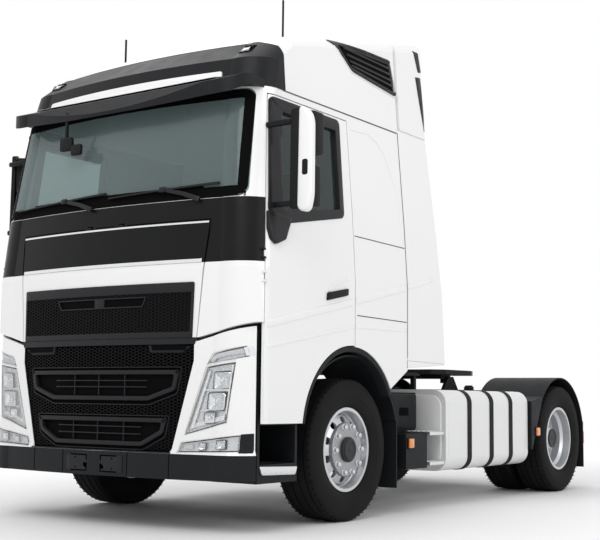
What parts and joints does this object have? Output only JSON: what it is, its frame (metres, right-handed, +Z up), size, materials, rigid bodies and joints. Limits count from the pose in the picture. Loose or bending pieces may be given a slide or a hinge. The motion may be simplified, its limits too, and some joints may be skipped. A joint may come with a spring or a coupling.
{
  "type": "semi truck tractor unit",
  "caption": "Two-axle cab-over tractor unit with a high-roof sleeper cab, tilting cab, opening doors and front lid, steered front wheels and a rocking coupling plate.",
  "frame": {"origin": "ground level, centre line, middle of the whole length", "axes": "+X to the vehicle left side, +Y to the rear, +Z up; the front faces -Y"},
  "size_m": [2.9892, 5.7698, 3.9299],
  "materials": {
    "white_paint": "gloss white paint with clear coat",
    "dark_plastic": "grained dark plastic",
    "glass": "tinted safety glass",
    "lamp_lens": "clear polycarbonate lens",
    "tail_lens": "red lens",
    "rubber": "black rubber",
    "tyre": "tyre rubber",
    "wheel_steel": "silver painted steel",
    "frame_steel": "dark chassis paint",
    "engine_iron": "painted casting",
    "tank_aluminium": "pale satin sheet",
    "seat_fabric": "woven seat cloth"
  },
  "bodies": {
    "chassis": {"battery_box": "dark_plastic", "bumper": "dark_plastic", "catwalk": "tank_aluminium", "crossmembers": "frame_steel", "driveline": "frame_steel", "engine_block": "engine_iron", "entry_steps": "dark_plastic", "exhaust_and_air_units": "tank_aluminium", "fifth_wheel_base": "frame_steel", "frame_rails": "frame_steel", "front_axle": "frame_steel", "front_lamps": "lamp_lens", "front_mudguards": "dark_plastic", "fuel_tank": "tank_aluminium", "headlamp_surround": "white_paint", "lower_grille": "dark_plastic", "rear_axle": "frame_steel", "rear_beam": "frame_steel", "rear_mudguards": "dark_plastic", "side_steps": "tank_aluminium", "suspension": "frame_steel", "tail_lamps": "tail_lens", "tank_brackets": "frame_steel", "tank_straps": "rubber"},
    "cab": {"cab_shell": "white_paint", "cab_roof": "white_paint", "windscreen": "glass", "roof_front_panel": "dark_plastic", "sun_visor": "dark_plastic", "air_deflectors": "white_paint", "corner_panels": "white_paint", "cowl_panel": "dark_plastic", "dashboard": "dark_plastic", "seats_and_bunk": "seat_fabric", "aerials": "frame_steel", "marker_lamps": "lamp_lens"},
    "door_left": {"door_left": "white_paint", "door_glass_left": "glass", "mirror_left": "white_paint"},
    "door_right": {"door_right": "white_paint", "door_glass_right": "glass", "mirror_right": "white_paint"},
    "front_lid": {"front_lid": "white_paint", "lid_dark_panel": "dark_plastic", "lid_mesh": "dark_plastic"},
    "knuckle_left": {"knuckle_left": "frame_steel"},
    "knuckle_right": {"knuckle_right": "frame_steel"},
    "tie_rod": {"tie_rod": "frame_steel"},
    "wheel_front_left": {"tyre_front_left": "tyre", "rim_front_left": "wheel_steel"},
    "wheel_front_right": {"tyre_front_right": "tyre", "rim_front_right": "wheel_steel"},
    "wheel_rear_left": {"tyres_rear_left": "tyre", "rims_rear_left": "wheel_steel"},
    "wheel_rear_right": {"tyres_rear_right": "tyre", "rims_rear_right": "wheel_steel"},
    "fifth_wheel": {"fifth_wheel_plate": "frame_steel"}
  },
  "joints": [
    {"name": "cab_tilt", "type": "hinge", "parent": "chassis", "child": "cab", "pos_m": [0, -2.72, 0.9], "axis": [1, 0, 0], "range_deg": [0, 60]},
    {"name": "door_left_hinge", "type": "hinge", "parent": "cab", "child": "door_left", "pos_m": [1.237, -2.634, 1.7], "axis": [0.0698, 0, -0.9976], "range_deg": [0, 75]},
    {"name": "door_right_hinge", "type": "hinge", "parent": "cab", "child": "door_right", "pos_m": [-1.237, -2.634, 1.7], "axis": [0.0698, 0, 0.9976], "range_deg": [0, 75]},
    {"name": "lid_hinge", "type": "hinge", "parent": "cab", "child": "front_lid", "pos_m": [0, -2.833, 2.023], "axis": [-1, 0, 0], "range_deg": [0, 70]},
    {"name": "steer_left", "type": "hinge", "parent": "chassis", "child": "knuckle_left", "pos_m": [0.87, -1.52, 0.5], "axis": [0, 0, 1], "range_deg": [-40, 40]},
    {"name": "steer_right", "type": "hinge", "parent": "chassis", "child": "knuckle_right", "pos_m": [-0.87, -1.52, 0.5], "axis": [0, 0, 1], "range_deg": [-40, 40]},
    {"name": "tie_rod_pivot", "type": "hinge", "parent": "knuckle_left", "child": "tie_rod", "pos_m": [0.87, -1.34, 0.4], "axis": [0, 0, 1], "range_deg": [-40, 40]},
    {"name": "spin_front_left", "type": "hinge", "parent": "knuckle_left", "child": "wheel_front_left", "pos_m": [1.025, -1.52, 0.505], "axis": [1, 0, 0], "continuous": true},
    {"name": "spin_front_right", "type": "hinge", "parent": "knuckle_right", "child": "wheel_front_right", "pos_m": [-1.025, -1.52, 0.505], "axis": [1, 0, 0], "continuous": true},
    {"name": "spin_rear_left", "type": "hinge", "parent": "chassis", "child": "wheel_rear_left", "pos_m": [0.92, 2.18, 0.505], "axis": [1, 0, 0], "continuous": true},
    {"name": "spin_rear_right", "type": "hinge", "parent": "chassis", "child": "wheel_rear_right", "pos_m": [-0.92, 2.18, 0.505], "axis": [1, 0, 0], "continuous": true},
    {"name": "coupling_rock", "type": "hinge", "parent": "chassis", "child": "fifth_wheel", "pos_m": [0, 1.53, 1.058], "axis": [1, 0, 0], "range_deg": [-12, 12]}
  ],
  "couplings": [
    {"joint": "steer_right", "follows": "steer_left", "ratio": 1},
    {"joint": "tie_rod_pivot", "follows": "steer_left", "ratio": -1}
  ]
}
